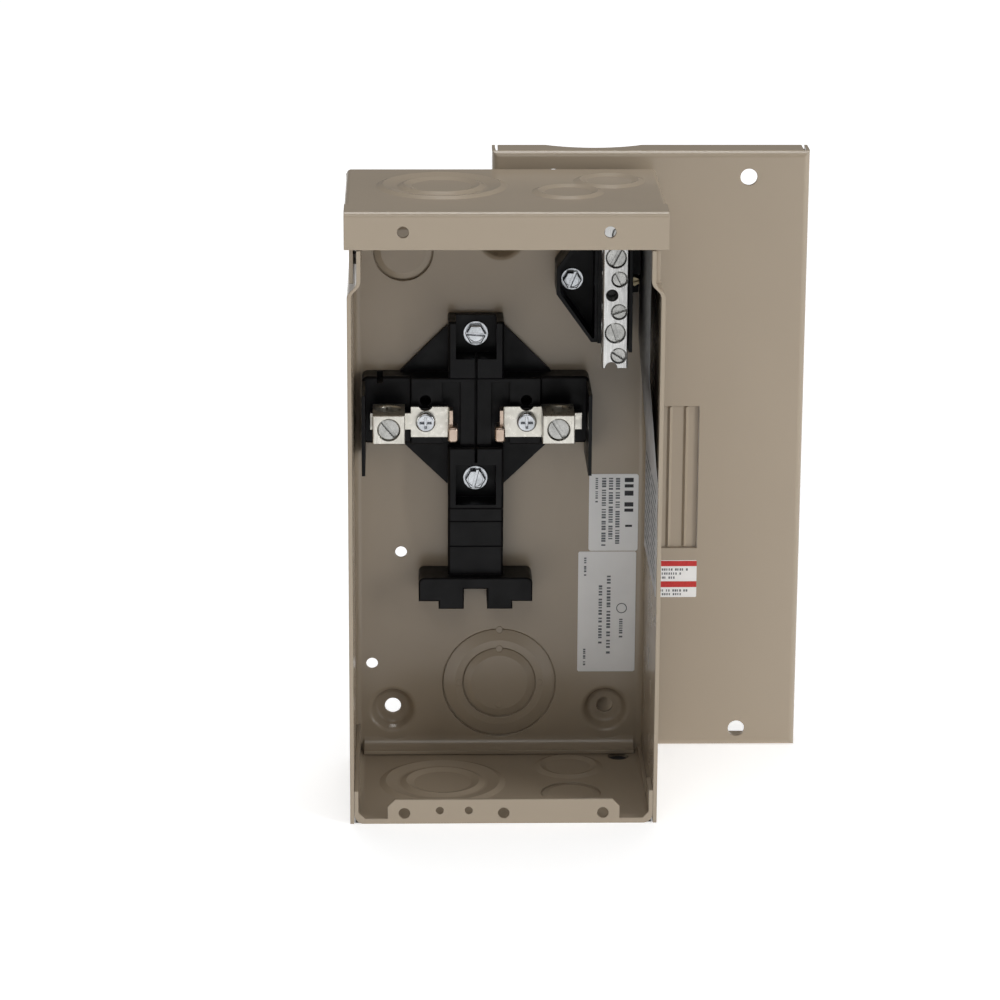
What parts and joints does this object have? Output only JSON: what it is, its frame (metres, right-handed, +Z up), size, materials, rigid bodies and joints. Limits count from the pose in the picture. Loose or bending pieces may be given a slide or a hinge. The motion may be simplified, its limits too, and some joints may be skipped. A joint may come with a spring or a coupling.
{
  "type": "enclosed panelboard",
  "caption": "Small open subpanel enclosure with bus bars, line lugs, a neutral bar and conduit knockouts, its flanged cover taken off and standing beside it.",
  "frame": {"origin": "underside of the box, in the middle of its footprint between the front lips and the outside of the back wall", "axes": "+X to the right seen from the open front, +Y from the open front to the back wall, +Z up"},
  "size_m": [0.177, 0.0969, 0.2408],
  "materials": {
    "tan_paint_inside": "semi-gloss baked powder paint",
    "tan_paint": "semi-gloss baked powder paint",
    "tan_paint_pan": "semi-gloss baked powder paint",
    "tan_paint_cover": "semi-gloss baked powder paint",
    "black_moulding": "satin moulded thermoset",
    "zinc_screw": "bright zinc plate",
    "zinc_screw_cross": "bright zinc plate",
    "lug_screw_steel": "zinc plate",
    "neutral_screw_steel": "zinc plate",
    "dark_screw": "shaded zinc plate",
    "tinned_bus": "tin-plated copper",
    "tinned_aluminium": "tin-plated extruded aluminium",
    "neutral_aluminium": "extruded aluminium, drawn finish",
    "brass_screw": "brass",
    "label_paper": "coated paper"
  },
  "bodies": {
    "enclosure": {"box_wrapper": "tan_paint_inside", "top_cap": "tan_paint", "bottom_pan": "tan_paint_pan", "interior_base": "black_moulding", "upper_base_screw": "zinc_screw", "lower_base_screw": "zinc_screw", "left_bus_bar": "tinned_bus", "right_bus_bar": "tinned_bus", "left_bus_screw": "zinc_screw_cross", "right_bus_screw": "zinc_screw_cross", "left_line_lug": "tinned_aluminium", "right_line_lug": "tinned_aluminium", "neutral_insulator": "black_moulding", "insulator_screw": "zinc_screw", "neutral_bar": "neutral_aluminium", "neutral_bar_fixing_screw": "dark_screw", "upper_back_label": "label_paper", "lower_back_label": "label_paper", "side_wall_label": "label_paper"},
    "left_line_lug_screw_body": {"left_line_lug_screw": "lug_screw_steel"},
    "right_line_lug_screw_body": {"right_line_lug_screw": "lug_screw_steel"},
    "neutral_large_screw_1_body": {"neutral_large_screw_1": "neutral_screw_steel"},
    "neutral_large_screw_2_body": {"neutral_large_screw_2": "neutral_screw_steel"},
    "neutral_small_screw_1_body": {"neutral_small_screw_1": "neutral_screw_steel"},
    "neutral_small_screw_2_body": {"neutral_small_screw_2": "neutral_screw_steel"},
    "neutral_small_screw_3_body": {"neutral_small_screw_3": "neutral_screw_steel"},
    "neutral_small_screw_4_body": {"neutral_small_screw_4": "neutral_screw_steel"},
    "bonding_screw_body": {"bonding_screw": "brass_screw"},
    "removable_cover": {"cover": "tan_paint_cover", "left_twist_out": "tan_paint_cover", "right_twist_out": "tan_paint_cover", "cover_label": "label_paper"}
  },
  "joints": [
    {"name": "left_line_lug_screw_travel", "type": "slide", "parent": "enclosure", "child": "left_line_lug_screw_body", "axis": [0, 1, 0], "range_m": [0, 0.0055]},
    {"name": "right_line_lug_screw_travel", "type": "slide", "parent": "enclosure", "child": "right_line_lug_screw_body", "axis": [0, 1, 0], "range_m": [0, 0.0055]},
    {"name": "neutral_large_screw_1_travel", "type": "slide", "parent": "enclosure", "child": "neutral_large_screw_1_body", "axis": [0, 1, 0], "range_m": [0, 0.004]},
    {"name": "neutral_large_screw_2_travel", "type": "slide", "parent": "enclosure", "child": "neutral_large_screw_2_body", "axis": [0, 1, 0], "range_m": [0, 0.004]},
    {"name": "neutral_small_screw_1_travel", "type": "slide", "parent": "enclosure", "child": "neutral_small_screw_1_body", "axis": [0, 1, 0], "range_m": [0, 0.003]},
    {"name": "neutral_small_screw_2_travel", "type": "slide", "parent": "enclosure", "child": "neutral_small_screw_2_body", "axis": [0, 1, 0], "range_m": [0, 0.003]},
    {"name": "neutral_small_screw_3_travel", "type": "slide", "parent": "enclosure", "child": "neutral_small_screw_3_body", "axis": [0, 1, 0], "range_m": [0, 0.003]},
    {"name": "neutral_small_screw_4_travel", "type": "slide", "parent": "enclosure", "child": "neutral_small_screw_4_body", "axis": [0, 1, 0], "range_m": [0, 0.003]},
    {"name": "bonding_screw_travel", "type": "slide", "parent": "enclosure", "child": "bonding_screw_body", "axis": [0, 1, 0], "range_m": [0, 0.0027]},
    {"name": "cover_slide_away", "type": "slide", "parent": "enclosure", "child": "removable_cover", "axis": [1, 0, 0], "range_m": [0, 0.13]}
  ]
}
